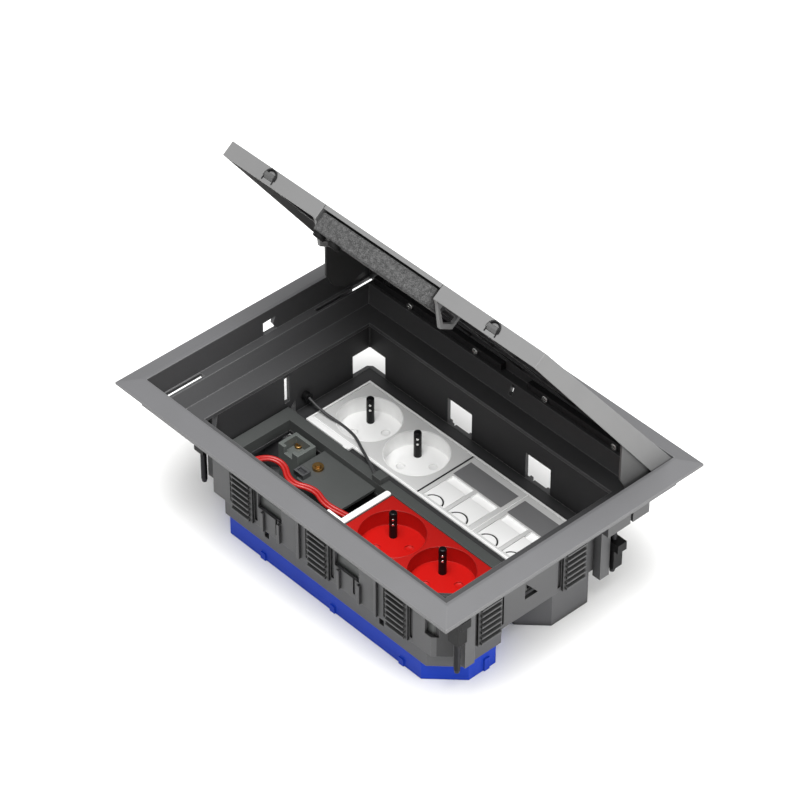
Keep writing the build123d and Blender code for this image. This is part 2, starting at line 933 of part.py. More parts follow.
def latch_recess(side):
    x = side * latch_place
    z = flange_top - latch_drop
    reach = latch_width / 2 + latch_fit
    tall = latch_height / 2 + latch_fit
    hole = block(x - reach, x + reach, lid_front - 1, lid_front + lid_wall + 1, z - tall, z + tall)
    arch = Pos(x, lid_front + 0.4, z) * Rot(90, 0, 0) * Cylinder(5.2, 0.9)
    return hole + (arch - block(x - 6, x + 6, lid_front - 2, lid_front + 2, z - 6, z - 1.2))


def latch(side):
    x = side * latch_place
    z = flange_top - latch_drop
    half, tall = latch_width / 2, latch_height / 2
    nose = side_prism(
        [
            (lid_front - latch_proud, z + tall),
            (lid_front - latch_proud, z + tall - 1.6),
            (lid_front - 0.1, z - tall),
            (lid_front + latch_length - latch_proud, z - tall),
            (lid_front + latch_length - latch_proud, z + tall),
        ],
        x - half,
        x + half,
    )
    stop = block(
        x - half - 1.2,
        x + half + 1.2,
        lid_front + lid_wall + 0.1,
        lid_front + lid_wall + 1.6,
        z - tall + 0.4,
        z + tall - 0.4,
    )
    return nose + stop


def latch_guides():
    guides = []
    for side in (-1, 1):
        x = side * latch_place
        z = flange_top - latch_drop
        top = flange_top - lid_skin
        y0, y1 = lid_front + lid_wall + 4.6, lid_front + lid_wall + 9.0
        slot = latch_width / 2 + latch_fit
        foot = z - latch_height / 2 - latch_fit
        guide = block(x - 6.5, x + 6.5, y0, y1, z - 4.0, top)
        guides.append(guide - block(x - slot, x + slot, y0 - 1, y1 + 1, foot, top - 0.1))
    return guides


def lid_plate():
    top = flange_top - lid_skin
    return block(
        -plate_half, plate_half, plate_front, plate_back, top - lid_plate_thickness, top
    )


def lid_ribs():
    top = flange_top - lid_skin - lid_plate_thickness
    half = rib_thickness / 2
    grid = Part()
    y0, y1 = plate_front + 2, plate_back - 2
    for share in (-0.89, -0.534, -0.178, 0.178, 0.534, 0.89):
        x = share * plate_half
        grid += block(x - half, x + half, y0, y1, top - rib_height, top)
    for share in (0.01, 0.335, 0.665, 0.99):
        y = y0 + share * (y1 - y0)
        grid += block(2 - plate_half, plate_half - 2, y - half, y + half, top - rib_height, top)
    return grid


def lid_gussets():
    # The front edge stands upright in the stored open pose, so the outline is drawn in that pose.
    x1 = lid_half - lid_wall
    slope = tan(radians(lid_open_angle))
    top = pivot_z + (pivot_y - gusset_front) * slope
    points = [
        (gusset_front, top),
        (gusset_front, gusset_foot),
        (gusset_front + 5, gusset_foot - 9.5),
        (gusset_front + 14, gusset_foot - 15.5),
        (pivot_y - 15, gusset_foot - 15.5),
        (pivot_y - 7, pivot_z - 4),
        (pivot_y - 3.6, pivot_z + 3.6 * slope),
    ]
    plate = side_prism(closed_points(points), x1 - gusset_thickness, x1)
    return mirrored(plate, Plane.YZ)


# Cable flap pieces in the closed pose
def flap_plate():
    edge = flange_top - flap_thickness
    plate = block(-flap_half, flap_half, lid_front, flap_pivot_y, edge, flange_top)
    plate += rod(flap_barrel, -flap_half, flap_half, flap_pivot_y, flap_pivot_z)
    reach = flap_half + flap_gap + lid_wall - 0.2
    return plate + rod(flap_pin, -reach, reach, flap_pivot_y, flap_pivot_z)


def flap_foam():
    top = flange_top - flap_thickness
    return block(-foam_half, foam_half, lid_front + 0.3, lid_front + foam_depth, top - foam_height, top)


def flap_feet():
    top = flange_top - flap_thickness - foam_height
    feet = []
    for x in foot_places:
        foot = Pos(x, lid_front + 5.0, top - foot_height / 2) * Cylinder(foot_radius, foot_height)
        feet.append(fillet(foot.edges().sort_by(Axis.Z)[0], 1.2))
    return feet


os.makedirs("parts", exist_ok=True)

save("floor_flange", floor_flange())
save("seat_pads", *seat_pads())
save("hinge_rail", hinge_rail())
save("hinge_pins", *hinge_pins())
save("rail_screws", *rail_screws())
save("inner_box", inner_box())
save("long_racks", *long_racks())
save("side_racks", *side_racks())
save("wall_ribs", *wall_ribs())
save("claw_guides", *claw_guides())
save("claw_screws", *claw_screws())
save("front_box", front_box())
save("back_box", back_box())
save("base_cover", base_cover())
save("front_riser", front_riser())
save("back_carrier", back_carrier())
save("red_carrier", red_carrier())
save("white_socket", double_socket(-row_half, back_row, white_level))
save("white_pins", *earth_pins(-row_half, back_row, white_level))
save("red_bar", red_bar())
save("red_socket", double_socket(red_start, front_row, red_level))
save("red_pins", *earth_pins(red_start, front_row, red_level))
for name, start in (("a", 0.0), ("b", module)):
    save(f"data_module_{name}", data_module(start))
    save(f"label_field_{name}", label_field(start))
    for side, place in zip(("left", "right"), shutter_places(start)):
        save(f"shutter_{name}_{side}", shutter(place))
save("wiring_shelf", wiring_shelf())
save("connector", connector())
save("terminal_stud", terminal_stud())
save("earth_clamp", earth_clamp())
save("grey_clip", grey_clip())
save("lead_glands", *lead_glands())
save("red_lead_a", lead(raised(red_route_a), red_lead, "red lead a"))
save("red_lead_b", lead(raised(red_route_b), red_lead, "red lead b"))
save("grey_lead", lead(raised(grey_route), grey_lead, "grey lead"))
for sx, end in ((-1, "left"), (1, "right")):
    for sy, row in ((-1, "front"), (1, "back")):
        save(f"claw_{end}_{row}", claw(sx, sy, claw_feet[f"{end}_{row}"]))
save("lid_shell", opened(lid_shell()))
save("lid_plate", opened(lid_plate()))
save("lid_ribs", opened(lid_ribs()))
save("lid_gussets", *[opened(shape) for shape in lid_gussets()])
save("latch_guides", *[opened(shape) for shape in latch_guides()])
save("latch_left", opened(latch(-1)))
save("latch_right", opened(latch(1)))
save("flap_plate", opened(flap_plate()))
save("flap_foam", opened(flap_foam()))
save("flap_feet", *[opened(shape) for shape in flap_feet()])
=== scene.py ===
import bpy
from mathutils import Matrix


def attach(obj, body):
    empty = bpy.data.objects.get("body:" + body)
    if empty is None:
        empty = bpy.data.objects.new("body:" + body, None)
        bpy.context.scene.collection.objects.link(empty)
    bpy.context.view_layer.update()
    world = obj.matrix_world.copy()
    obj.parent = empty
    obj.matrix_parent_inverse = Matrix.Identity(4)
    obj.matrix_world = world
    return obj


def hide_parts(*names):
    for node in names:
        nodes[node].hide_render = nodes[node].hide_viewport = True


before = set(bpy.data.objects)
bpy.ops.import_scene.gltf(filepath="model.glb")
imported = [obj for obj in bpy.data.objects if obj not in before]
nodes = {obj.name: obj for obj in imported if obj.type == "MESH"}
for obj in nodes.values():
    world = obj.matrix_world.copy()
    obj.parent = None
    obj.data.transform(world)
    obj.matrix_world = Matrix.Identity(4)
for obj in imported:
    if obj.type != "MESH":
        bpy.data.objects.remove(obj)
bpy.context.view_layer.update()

import math

import bmesh
import bpy
from mathutils import Matrix, Vector

mm = 0.001

# Places shared by several pieces, all in metres
outlet = {
    "floorLevel": 0.099,
    "pivot": (0.0, 0.085, 0.101),
    "lidOpen": 52.6,
    "wells": {
        "white": {"centres": [(-0.0655, 0.0315), (-0.0245, 0.0315)], "face": 0.0427, "floor": 0.0321},
        "red": {"centres": [(0.023, -0.0315), (0.064, -0.0315)], "face": 0.0502, "floor": 0.0396},
    },
}


def hexColour(code):
    # sRGB hex to the linear colour that a shader socket takes
    parts = [int(code[i:i + 2], 16) / 255 for i in (1, 3, 5)]
    return tuple(c / 12.92 if c <= 0.04045 else ((c + 0.055) / 1.055) ** 2.4 for c in parts) + (1.0,)


def addNode(tree, kind, sockets=None, links=None, **settings):
    node = tree.nodes.new(kind)
    for name, value in settings.items():
        setattr(node, name, value)
    for name, value in (sockets or {}).items():
        node.inputs[name].default_value = value
    for name, source in (links or {}).items():
        tree.links.new(source, node.inputs[name])
    return node


def newMaterial(name):
    material = bpy.data.materials.new(name)
    material.use_nodes = True
    tree = material.node_tree
    tree.nodes.clear()
    shader = addNode(tree, "ShaderNodeBsdfPrincipled")
    addNode(tree, "ShaderNodeOutputMaterial", links={"Surface": shader.outputs["BSDF"]})
    place = addNode(tree, "ShaderNodeTexCoord").outputs["Object"]
    return material, tree, shader, place


raySamples = 4  # rays of each Bevel and Ambient Occlusion node
edgeTurn = {"flat": 0.999, "rounded": 0.80}  # cosine between the flat and the rounded normal


def edgeMask(tree, radius):
    # 1 on edges that handling and the mould have rounded, 0 on flats; the paler edge colour it brings is partly wear
    # and partly painted highlight
    rounded = addNode(tree, "ShaderNodeBevel", {"Radius": radius}, samples=raySamples)
    flat = addNode(tree, "ShaderNodeNewGeometry")
    match = addNode(tree, "ShaderNodeVectorMath", links={0: rounded.outputs[0], 1: flat.outputs["Normal"]},
                    operation="DOT_PRODUCT")
    mask = addNode(tree, "ShaderNodeMapRange",
                   {"From Min": edgeTurn["flat"], "From Max": edgeTurn["rounded"], "To Min": 0.0, "To Max": 1.0},
                   {"Value": match.outputs["Value"]})
    return rounded, mask.outputs["Result"]


def paintedToneMask(tree, place, halfX, halfY, top):
    # 1 inside the walls of the box and below its rim; there the inner colour paints shade in the box and light in the
    # wells
    axes = addNode(tree, "ShaderNodeSeparateXYZ", links={0: place}).outputs
    inside = []
    for axis, half in (("X", halfX), ("Y", halfY)):
        size = addNode(tree, "ShaderNodeMath", links={0: axes[axis]}, operation="ABSOLUTE").outputs[0]
        inside.append(addNode(tree, "ShaderNodeMath", {1: half}, {0: size}, operation="LESS_THAN").outputs[0])
    low = addNode(tree, "ShaderNodeMath", {1: top}, {0: axes["Z"]}, operation="LESS_THAN").outputs[0]
    both = addNode(tree, "ShaderNodeMath", links={0: inside[0], 1: inside[1]}, operation="MULTIPLY").outputs[0]
    return addNode(tree, "ShaderNodeMath", links={0: both, 1: low}, operation="MULTIPLY").outputs[0]


# What all moulded pieces share, lengths in millimetres
moulding = {"cloudSize": 30, "glossSpread": 0.06, "grainHeight": 0.06, "ior": 1.5, "sheen": 0.5,
            # The keys on the next line set the painted shade in grooves and corners
            "paintedShadeColour": "#050505", "paintedShadeMix": 0.08, "open": 0.9}


def mouldedPlastic(name, look):
    # Injection moulded thermoplastic: eroded-mould grain, slightly paler edges (partly wear, partly painted
    # highlight), faint flow clouding
    # A real mould's grain is near 0.1 mm, so it is drawn coarser here to show
    look = {**moulding, **look}
    material, tree, shader, place = newMaterial(name)
    clouds = addNode(tree, "ShaderNodeTexNoise", {"Scale": 1 / (look["cloudSize"] * mm), "Detail": 3.0},
                     {"Vector": place})
    tone = addNode(tree, "ShaderNodeMix", {6: hexColour(look["colour"]), 7: hexColour(look["cloud"])},
                   {0: clouds.outputs["Fac"]}, data_type="RGBA")
    colour = tone.outputs[2]
    if "inner" in look:
        mask = paintedToneMask(tree, place, *look["innerZone"])
        # The inner colour is painted: shade inside the box, light inside the wells
        colour = addNode(tree, "ShaderNodeMix", {7: hexColour(look["inner"])}, {0: mask, 6: colour},
                         data_type="RGBA").outputs[2]
    if "paintedShadeReach" in look:
        # Painted shade: grooves and corners darken by ambient occlusion
        around = addNode(tree, "ShaderNodeAmbientOcclusion", {"Distance": look["paintedShadeReach"] * mm}, samples=raySamples)
        depth = addNode(tree, "ShaderNodeMapRange",
                        {"From Min": look["hollow"], "From Max": look["open"], "To Min": look["paintedShadeMix"],
                         "To Max": 1.0}, {"Value": around.outputs["AO"]})
        colour = addNode(tree, "ShaderNodeMix", {6: hexColour(look["paintedShadeColour"])},
                         {0: depth.outputs["Result"], 7: colour}, data_type="RGBA").outputs[2]
    rounded, mask = edgeMask(tree, look["edgeRadius"] * mm)
    # Paler edges, partly wear and partly painted highlight
    wearAndHighlight = addNode(tree, "ShaderNodeMath", {1: look["edgeWearAndHighlight"]}, {0: mask}, operation="MULTIPLY")
    paler = addNode(tree, "ShaderNodeMix", {7: hexColour(look["edge"])}, {0: wearAndHighlight.outputs[0], 6: colour},
                    data_type="RGBA")
    tree.links.new(paler.outputs[2], shader.inputs["Base Color"])
    grain = addNode(tree, "ShaderNodeTexNoise", {"Scale": 1 / (look["grain"] * mm), "Detail": 4.0},
                    {"Vector": place})
    spread = look["glossSpread"]
    gloss = addNode(tree, "ShaderNodeMapRange",
                    {"To Min": look["roughness"] - spread, "To Max": look["roughness"] + spread},
                    {"Value": grain.outputs["Fac"]})
    tree.links.new(gloss.outputs["Result"], shader.inputs["Roughness"])
    bump = addNode(tree, "ShaderNodeBump", {"Strength": look["bump"], "Distance": look["grainHeight"] * mm},
                   {"Height": grain.outputs["Fac"], "Normal": rounded.outputs[0]})
    tree.links.new(bump.outputs[0], shader.inputs["Normal"])
    shader.inputs["IOR"].default_value = look["ior"]
    shader.inputs["Specular IOR Level"].default_value = look["sheen"]
    return material


# What all metal pieces share, lengths in millimetres
drawing = {"glossLess": 0.08, "glossMore": 0.1, "lineStrength": 0.15, "lineDepth": 0.02}


def platedMetal(name, look):
    # Drawn or turned metal: fine lines along or around the piece and small bright edges
    # Real tool marks are near 0.05 mm apart, so they are drawn coarser here to show
    look = {**drawing, **look}
    material, tree, shader, place = newMaterial(name)
    stretch = addNode(tree, "ShaderNodeMapping", {"Scale": look["lines"]}, {"Vector": place})
    lines = addNode(tree, "ShaderNodeTexNoise", {"Scale": 1 / (look["pitch"] * mm), "Detail": 5.0},
                    {"Vector": stretch.outputs[0]})
    tone = addNode(tree, "ShaderNodeMix", {6: hexColour(look["colour"]), 7: hexColour(look["line"])},
                   {0: lines.outputs["Fac"]}, data_type="RGBA")
    tree.links.new(tone.outputs[2], shader.inputs["Base Color"])
    gloss = addNode(tree, "ShaderNodeMapRange",
                    {"To Min": look["roughness"] - look["glossLess"], "To Max": look["roughness"] + look["glossMore"]},
                    {"Value": lines.outputs["Fac"]})
    tree.links.new(gloss.outputs["Result"], shader.inputs["Roughness"])
    rounded = addNode(tree, "ShaderNodeBevel", {"Radius": look["edgeRadius"] * mm}, samples=raySamples)
    bump = addNode(tree, "ShaderNodeBump", {"Strength": look["lineStrength"], "Distance": look["lineDepth"] * mm},
                   {"Height": lines.outputs["Fac"], "Normal": rounded.outputs[0]})
    tree.links.new(bump.outputs[0], shader.inputs["Normal"])
    shader.inputs["Metallic"].default_value = 1.0
    return material


def cellFoam(name, look):
    # Open-cell polyurethane foam: soft, matt and speckled with small dark cells
    material, tree, shader, place = newMaterial(name)
    cells = addNode(tree, "ShaderNodeTexVoronoi", {"Scale": 1 / (look["cell"] * mm)}, {"Vector": place})
    spread = addNode(tree, "ShaderNodeTexNoise", {"Scale": 1 / (look["patch"] * mm), "Detail": 4.0},
                     {"Vector": place})
    depth = addNode(tree, "ShaderNodeMath", links={0: cells.outputs["Distance"], 1: spread.outputs["Fac"]},
                    operation="MULTIPLY")
    dark = addNode(tree, "ShaderNodeMapRange", {"From Min": look["deep"], "From Max": look["shallow"]},
                   {"Value": depth.outputs[0]})
    tone = addNode(tree, "ShaderNodeMix", {6: hexColour(look["cellColour"]), 7: hexColour(look["colour"])},
                   {0: dark.outputs["Result"]}, data_type="RGBA")
    tree.links.new(tone.outputs[2], shader.inputs["Base Color"])
    bump = addNode(tree, "ShaderNodeBump", {"Strength": look["bump"], "Distance": look["cellDepth"] * mm},
                   {"Height": depth.outputs[0]})
    tree.links.new(bump.outputs[0], shader.inputs["Normal"])
    shader.inputs["Roughness"].default_value = look["roughness"]
    return material


# The lengths in these looks are in millimetres
# cavity and hollow say how far a groove reaches and how closed it is before it darkens, as painted shade
# innerZone, in metres, is the half length, half width and top of the zone that takes the inner colour, which is
# painted: shade inside the box, light inside the wells
# edge is the paler edge colour, partly wear and partly painted highlight
bodyGrey = {"colour": "#484849", "cloud": "#525253", "edge": "#858585", "grain": 0.8, "bump": 0.4,
            "roughness": 0.55, "edgeRadius": 0.4, "edgeWearAndHighlight": 0.6, "paintedShadeReach": 5, "hollow": 0.42, "sheen": 0.3}
plasticLooks = {
    # Glass-filled polyamide: satin and a little mottled
    # The frame's inside below the flange top takes a darker grey, painted shade
    "polyamideFrameGrey": {"colour": "#505051", "cloud": "#565658", "edge": "#8c8c8c", "grain": 0.7, "bump": 0.35,
                           "roughness": 0.5, "edgeRadius": 0.7, "edgeWearAndHighlight": 0.5,
                           "inner": "#3b3b3c", "innerZone": (125.2 * mm, 86.2 * mm, 103.0 * mm)},
    "polyamideLidGrey": {"colour": "#5b5b5b", "cloud": "#636363", "edge": "#8f8f8f", "grain": 0.7, "bump": 0.35,
                         "roughness": 0.48, "edgeRadius": 0.5, "edgeWearAndHighlight": 0.5},
    "polyamideGussetGrey": {"colour": "#444444", "cloud": "#3c3c3c", "edge": "#757575", "grain": 0.7, "bump": 0.35,
                            "roughness": 0.5, "edgeRadius": 0.4, "edgeWearAndHighlight": 0.4},
    # The box's inside takes a darker grey, painted shade
    "polyamideBodyGrey": {**bodyGrey, "inner": "#303031", "innerZone": (101.15 * mm, 64.15 * mm, 90 * mm)},
    # Racks take a stronger painted shade in their grooves
    "polyamideRackGrey": {**bodyGrey, "paintedShadeReach": 3.5, "hollow": 0.8},
    "polyamideBoxGrey": {**bodyGrey, "colour": "#48484a"},
    "polyamideSlate": {"colour": "#3a3c3b", "cloud": "#434544", "edge": "#6a6d6c", "grain": 0.8, "bump": 0.35,
                       "roughness": 0.5, "edgeRadius": 0.4, "edgeWearAndHighlight": 0.4},
    "polyamideDark": {"colour": "#1b1b1c", "cloud": "#222223", "edge": "#4a4a4b", "grain": 0.8, "bump": 0.4,
                      "roughness": 0.5, "edgeRadius": 0.4, "edgeWearAndHighlight": 0.5},
    "polyamideBlack": {"colour": "#0a0a0b", "cloud": "#101011", "edge": "#303031", "grain": 0.8, "bump": 0.3,
                       "roughness": 0.5, "edgeRadius": 0.3, "edgeWearAndHighlight": 0.3, "sheen": 0.15},
    # Polypropylene: waxy, with little sheen
    "polypropyleneBlue": {"colour": "#062a94", "cloud": "#0b36a4", "edge": "#2f56d8", "grain": 0.9, "bump": 0.3,
                          "roughness": 0.5, "edgeRadius": 0.4, "edgeWearAndHighlight": 0.35, "sheen": 0.2},
    # Polycarbonate: smooth and glossy, nearly without grain
    "polycarbonateWhite": {"colour": "#e0e0df", "cloud": "#e9e9e8", "edge": "#ffffff", "grain": 0.5, "bump": 0.08,
                           "roughness": 0.3, "edgeRadius": 0.4, "edgeWearAndHighlight": 0.3, "ior": 1.58},
    # The face is drawn greyer than the shutters' white and the inside of the wells paler, painted shade on the face
    # and painted light in the wells
    "polycarbonateFace": {"colour": "#bebebd", "cloud": "#c8c8c7", "edge": "#dadad9", "grain": 0.5, "bump": 0.08,
                          "roughness": 0.3, "edgeRadius": 0.4, "edgeWearAndHighlight": 0.4, "ior": 1.58,
                          "inner": "#f4f4f3", "innerZone": (101 * mm, 64 * mm, 42.3 * mm)},
    # The inside of the wells takes a paler red than the face, painted light
    "polycarbonateRed": {"colour": "#8f120f", "cloud": "#991713", "edge": "#d04038", "grain": 0.5, "bump": 0.08,
                         "roughness": 0.34, "edgeRadius": 0.4, "edgeWearAndHighlight": 0.3, "sheen": 0.3,
                         "inner": "#a8110d", "innerZone": (101 * mm, 64 * mm, 49.8 * mm)},
    # Polyamide of the terminal block: paler at the edges, partly wear and partly painted highlight, and glossier
    "polyamideTerminal": {"colour": "#4f5351", "cloud": "#5b5f5c", "edge": "#a4a8a5", "grain": 0.7, "bump": 0.3,
                          "roughness": 0.4, "edgeRadius": 0.3, "edgeWearAndHighlight": 0.6},
    # Acrylic label window: smooth and flat
    "acrylicLabelGrey": {"colour": "#6a6a6b", "cloud": "#747475", "edge": "#8c8c8c", "grain": 0.5, "bump": 0.05,
                  "roughness": 0.35, "edgeRadius": 0.2, "edgeWearAndHighlight": 0.3},
    # Earth pins, drawn as black gloss plastic: the black is a painted reflection of the dark surroundings that the
    # metal pins mirror
    "pinBlackPaintedReflection": {"colour": "#08080a", "cloud": "#0d0d0f", "edge": "#2c2c2e", "grain": 0.6, "bump": 0.1,
                 "roughness": 0.3, "edgeRadius": 0.2, "edgeWearAndHighlight": 0.2, "sheen": 0.2},
    # Rubber and soft PVC: dull, with worn corners only
    "rubberBlack": {"colour": "#0c0c0c", "cloud": "#121212", "edge": "#222222", "grain": 0.9, "bump": 0.4,
                    "roughness": 0.7, "edgeRadius": 0.3, "edgeWearAndHighlight": 0.3, "sheen": 0.1},
    "vinylRed": {"colour": "#8e0f0c", "cloud": "#9c1511", "edge": "#c0352c", "grain": 1.2, "bump": 0.15,
                 "roughness": 0.4, "edgeRadius": 0.1, "edgeWearAndHighlight": 0.2},
    "vinylGrey": {"colour": "#333334", "cloud": "#3d3d3e", "edge": "#606060", "grain": 1.2, "bump": 0.15,
                  "roughness": 0.42, "edgeRadius": 0.1, "edgeWearAndHighlight": 0.2},
}
metalLooks = {
    # Nickel plate: bright and nearly white
    "nickelPlated": {"colour": "#e6e6e4", "line": "#d2d2d0", "roughness": 0.22, "pitch": 0.3,
                     "lines": (1.0, 1.0, 0.05), "edgeRadius": 0.15},
    # Zinc plate: pale and a little milky
    "zincPlatedSteel": {"colour": "#8f9092", "line": "#7c7d7f", "roughness": 0.34, "pitch": 0.4,
                        "lines": (1.0, 1.0, 0.1), "edgeRadius": 0.25},
    # Rolled sheet: dark, with long streaks along the lid
    "sheetSteelDark": {"colour": "#39393b", "line": "#303032", "roughness": 0.42, "pitch": 0.5,
                       "lines": (0.05, 1.0, 1.0), "edgeRadius": 0.2},
    # Phosphate coat: nearly black and matt
    "phosphatedSteel": {"colour": "#3a3a3c", "line": "#2c2c2e", "roughness": 0.45, "pitch": 0.4,
                        "lines": (1.0, 1.0, 0.1), "edgeRadius": 0.2},
    # Brass: warm, with fine turned lines
    "turnedBrass": {"colour": "#a58350", "line": "#8f6e40", "roughness": 0.35, "pitch": 0.3,
                    "lines": (1.0, 1.0, 0.1), "edgeRadius": 0.2},
}
foamLook = {"cell": 0.5, "patch": 2.4, "deep": 0.08, "shallow": 0.42, "bump": 0.8, "cellDepth": 0.25,
            "roughness": 0.95, "colour": "#4a4a4a", "cellColour": "#161616"}
finish = {name: mouldedPlastic(name, look) for name, look in plasticLooks.items()}
finish.update({name: platedMetal(name, look) for name, look in metalLooks.items()})
finish["polyurethaneFoam"] = cellFoam("polyurethaneFoam", foamLook)
print("materials ready:", len(finish))

# Finish of each piece that keeps its CAD shape
carried = {
    "polyamideFrameGrey": ["floor_flange"],
    "polyamideLidGrey": ["lid_shell", "flap_plate"],
    "polyamideGussetGrey": ["lid_gussets", "latch_left", "latch_right"],
    "polyamideBodyGrey": ["inner_box", "wall_ribs", "claw_guides"],
    "polyamideRackGrey": ["long_racks", "side_racks"],
    "polyamideBoxGrey": ["front_box", "back_box"],
    "polyamideSlate": ["front_riser", "wiring_shelf", "grey_clip", "red_carrier"],
    "polyamideDark": ["hinge_rail", "lid_ribs", "latch_guides"],
    "polyamideTerminal": ["connector"],
    "polyamideBlack": ["lead_glands", "claw_left_front", "claw_left_back", "claw_right_front", "claw_right_back"],
    "polypropyleneBlue": ["base_cover"],
    "polycarbonateFace": ["white_socket", "data_module_a", "data_module_b"],
    "polycarbonateWhite": ["shutter_a_left", "shutter_a_right", "shutter_b_left", "shutter_b_right", "back_carrier",
                           "red_bar"],
    "polycarbonateRed": ["red_socket"],
    "acrylicLabelGrey": ["label_field_a", "label_field_b"],
    "rubberBlack": ["seat_pads", "flap_feet"],
    "zincPlatedSteel": ["hinge_pins", "earth_clamp"],
    "sheetSteelDark": ["lid_plate"],
    "turnedBrass": ["terminal_stud"],
}
for materialName, names in carried.items():
    for name in names:
        mesh = nodes[name].data
        mesh.materials.clear()
        mesh.materials.append(finish[materialName])
print("nodes dressed:", sum(len(names) for names in carried.values()))


# Tools that every made piece shares
def deselectAll():
    bpy.ops.object.select_all(action="DESELECT")


def only(piece):
    deselectAll()
    piece.select_set(True)
    bpy.context.view_layer.objects.active = piece
    return piece


def settle(piece):
    # Puts the piece's place and turn into its mesh
    only(piece)
    bpy.ops.object.transform_apply(location=True, rotation=True, scale=True)
    return piece


def pickEdges(piece, wanted):
    # Selects the edges whose two ends both pass the test, in edit mode
    bpy.ops.mesh.select_all(action="DESELECT")
    shape = bmesh.from_edit_mesh(piece.data)
    shape.select_mode = {"EDGE"}
    for edge in shape.edges:
        if all(wanted(point.co) for point in edge.verts):
            edge.select_set(True)
    shape.select_flush_mode()
    bmesh.update_edit_mesh(piece.data)


def pickFaces(piece, wanted):
    bpy.ops.mesh.select_all(action="DESELECT")
    shape = bmesh.from_edit_mesh(piece.data)
    shape.select_mode = {"FACE"}
    for face in shape.faces:
        if wanted(face):
            face.select_set(True)
    shape.select_flush_mode()
    bmesh.update_edit_mesh(piece.data)


def smooth(piece, angle=35):
    only(piece)
    bpy.ops.object.shade_smooth_by_angle(angle=math.radians(angle))


def finishPiece(piece, name, look, body, cad=()):
    piece.name = name
    piece.data.name = name
    piece.data.materials.clear()
    piece.data.materials.append(finish[look])
    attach(piece, body)
    if cad:
        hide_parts(*cad)
    return piece


def copyOf(piece, matrix):
    # A copy with its own mesh, moved and settled
    deselectAll()
    twin = piece.copy()
    twin.data = piece.data.copy()
    bpy.context.scene.collection.objects.link(twin)
    twin.matrix_world = matrix
    return settle(twin)


def opened():
    # Turns a piece modelled on the closed lid to the stored open pose
    pivot = Vector(outlet["pivot"])
    turn = Matrix.Rotation(math.radians(-outlet["lidOpen"]), 4, "X")
    return Matrix.Translation(pivot) @ turn @ Matrix.Translation(-pivot)


def box(centre, size, turn=0):
    # A block settled at its place, turned about Z
    deselectAll()
    bpy.ops.mesh.primitive_cube_add(size=1, location=centre, rotation=(0, 0, turn))
    piece = bpy.context.object
    piece.scale = size
    return settle(piece)


def roundEdges(piece, radius, segments):
    only(piece)
    bpy.ops.object.mode_set(mode="EDIT")
    bpy.ops.mesh.select_all(action="SELECT")
    bpy.ops.mesh.bevel(offset=radius, segments=segments, affect="EDGES")
    bpy.ops.object.mode_set(mode="OBJECT")


# Leads: the routes of the CAD leads in metres, drawn as smooth curves
leads = {
    "redLeadA": {"width": 0.0024, "strands": (-1, 1), "look": "vinylRed", "slot": "lead_red", "cad": "red_lead_a",
                 "route": [(-0.07403, -0.06003, 0.0557), (-0.07363, -0.04499, 0.0545), (-0.06252, -0.03750, 0.0519),
                           (-0.04949, -0.04582, 0.0499), (-0.03596, -0.03738, 0.0489), (-0.02454, -0.04058, 0.0469),
                           (-0.01252, -0.03661, 0.0446), (-0.00141, -0.03443, 0.0443)]},
    "redLeadB": {"width": 0.0024, "strands": (-1, 1), "look": "vinylRed", "slot": "lead_red", "cad": "red_lead_b",
                 "route": [(-0.04000, -0.06003, 0.0537), (-0.03545, -0.05050, 0.0517), (-0.02747, -0.04653, 0.0472),
                           (-0.01404, -0.04403, 0.0445), (-0.00141, -0.04198, 0.0441)]},
    "greyLead": {"width": 0.0018, "strands": (0,), "look": "vinylGrey", "slot": "lead_grey", "cad": "grey_lead",
                 "route": [(-0.09747, 0.01261, 0.0497), (-0.08656, 0.01267, 0.0463), (-0.07535, 0.01472, 0.0444),
                           (-0.06646, 0.01491, 0.0441), (-0.05747, 0.01338, 0.0444), (-0.04747, 0.00832, 0.0462),
                           (-0.03687, 0.00307, 0.0486), (-0.02596, -0.00243, 0.0507), (-0.01879, -0.00589, 0.0508)]},
}
strandGap = 0.46  # half the distance between twin cores, as a share of a core's width


def beside(route, offset):
    # The route moved sideways in plan by the offset
    moved = []
    for index, point in enumerate(route):
        before, after = route[max(index - 1, 0)], route[min(index + 1, len(route) - 1)]
        along = Vector((after[0] - before[0], after[1] - before[1], 0)).normalized()
        moved.append(Vector(point) + Vector((-along.y, along.x, 0)) * offset)
    return moved


def makeLead(name, look):
    for strand in look["strands"]:
        route = beside(look["route"], strand * look["width"] * strandGap)
        curve = bpy.data.curves.new(name, "CURVE")
        curve.dimensions = "3D"
        curve.bevel_depth = look["width"] / 2
        curve.bevel_resolution = 5
        curve.resolution_u = 14
        curve.use_fill_caps = True
        line = curve.splines.new("NURBS")
        line.points.add(len(route) - 1)
        for target, place in zip(line.points, route):
            target.co = (*place, 1.0)
        line.order_u = 3
        line.use_endpoint_u = True
        piece = bpy.data.objects.new(name, curve)
        bpy.context.scene.collection.objects.link(piece)
        side = {-1: "Left", 0: "", 1: "Right"}[strand]
        finishPiece(piece, name + side, look["look"], "housing", [look["cad"]])


for name, look in leads.items():
    makeLead(name, look)
print("leads made:", len(leads))

# Foam strip of the cable flap, 90 by 17.7 by 10.9 mm, with soft edges and a slightly uneven face
foam = {"length": 0.090, "depth": 0.0177, "height": 0.0109, "top": 0.0996, "front": -0.0853, "edge": 0.0009,
        "cuts": 5, "unevenness": 0.00016}


